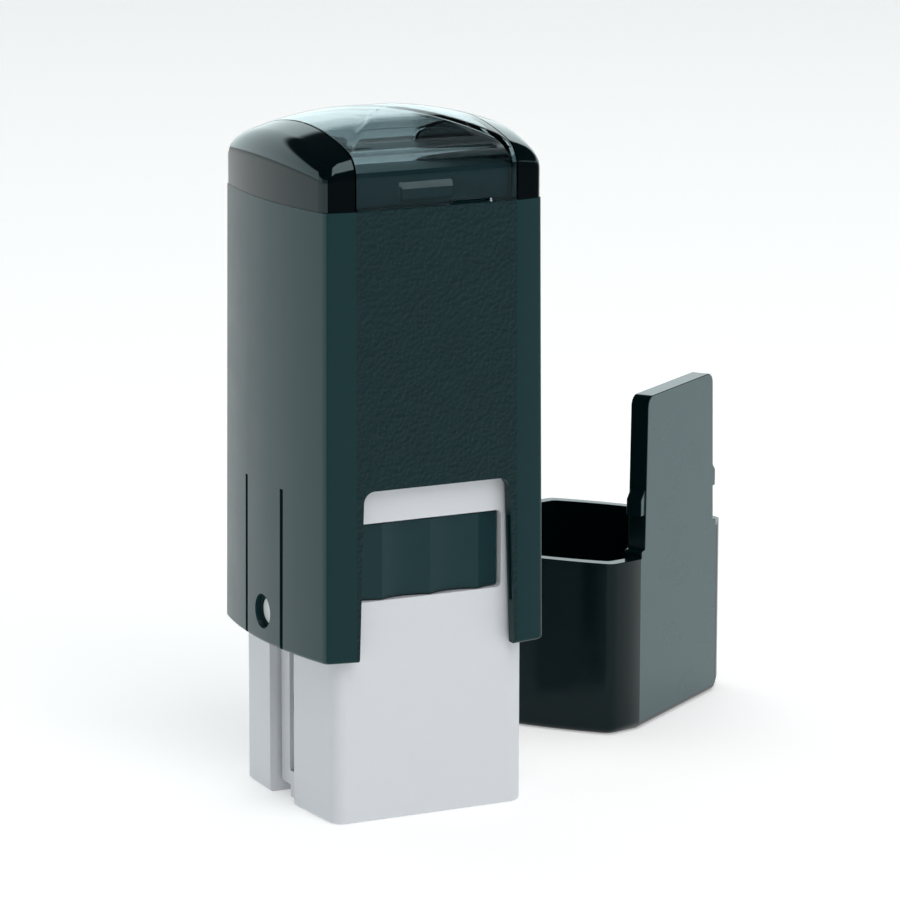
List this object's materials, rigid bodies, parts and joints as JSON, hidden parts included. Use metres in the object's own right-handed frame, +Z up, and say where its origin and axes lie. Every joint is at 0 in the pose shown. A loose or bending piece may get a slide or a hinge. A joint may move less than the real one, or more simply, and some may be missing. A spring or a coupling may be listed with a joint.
{
  "type": "self inking stamp",
  "caption": "Pocket self-inking stamp with a spring handle, a flipping square die, a pull-out ink cartridge, a clear top cover and a loose dust cap.",
  "frame": {"origin": "centre of the stamp's base on the floor, with the handle up", "axes": "+Z up through the handle, -Y towards the front where the ink cartridge shows, +X to the right across the front"},
  "size_m": [0.0668, 0.0522, 0.071],
  "materials": {
    "frame_plastic": "light cool grey satin plastic",
    "housing_plastic": "dark graphite satin plastic with a fine leather grain on the front",
    "gloss_black": "glossy black plastic",
    "smoke_clear": "smoky clear plastic",
    "spring_steel": "spring wire",
    "carrier_plastic": "dark satin plastic",
    "axle_plastic": "white plastic pin",
    "pin_steel": "ground steel pins",
    "foam": "closed-cell foam",
    "die_rubber": "laser-cut stamp rubber",
    "cartridge_plastic": "dark slate satin plastic",
    "pad_foam": "inked foam",
    "pad_cloth": "inked cloth",
    "cap_plastic": "glossy black plastic"
  },
  "bodies": {
    "base": {"base_frame": "frame_plastic", "return_spring": "spring_steel"},
    "handle": {"housing_shell": "housing_plastic", "top_cap": "gloss_black"},
    "cover": {"clear_cover": "smoke_clear"},
    "carrier": {"die_carrier": "carrier_plastic", "carrier_axle": "axle_plastic", "cam_pins": "pin_steel", "die_cushion": "foam", "rubber_die": "die_rubber"},
    "cartridge": {"pad_tray": "cartridge_plastic", "pad_foam": "pad_foam", "pad_cloth": "pad_cloth"},
    "cap": {"dust_cap": "cap_plastic"}
  },
  "joints": [
    {"name": "press", "type": "slide", "parent": "base", "child": "handle", "axis": [0, 0, -1], "range_m": [0, 0.0159], "stiffness_N_per_m": 400, "springref_m": -0.006, "deforming": ["return_spring"]},
    {"name": "flip", "type": "hinge", "parent": "handle", "child": "carrier", "pos_m": [0, 0, 0.0203], "axis": [1, 0, 0], "range_deg": [0, 180]},
    {"name": "cartridge_slide", "type": "slide", "parent": "base", "child": "cartridge", "axis": [0, -1, 0], "range_m": [0, 0.028]},
    {"name": "cover_lift", "type": "slide", "parent": "handle", "child": "cover", "axis": [0, 0, 1], "range_m": [0, 0.015]},
    {"name": "cap_lift", "type": "slide", "parent": "base", "child": "cap", "axis": [0, 0, 1], "range_m": [0, 0.04]}
  ],
  "couplings": [
    {"joint": "flip", "follows": "press", "rad_per_m": 197.58}
  ]
}
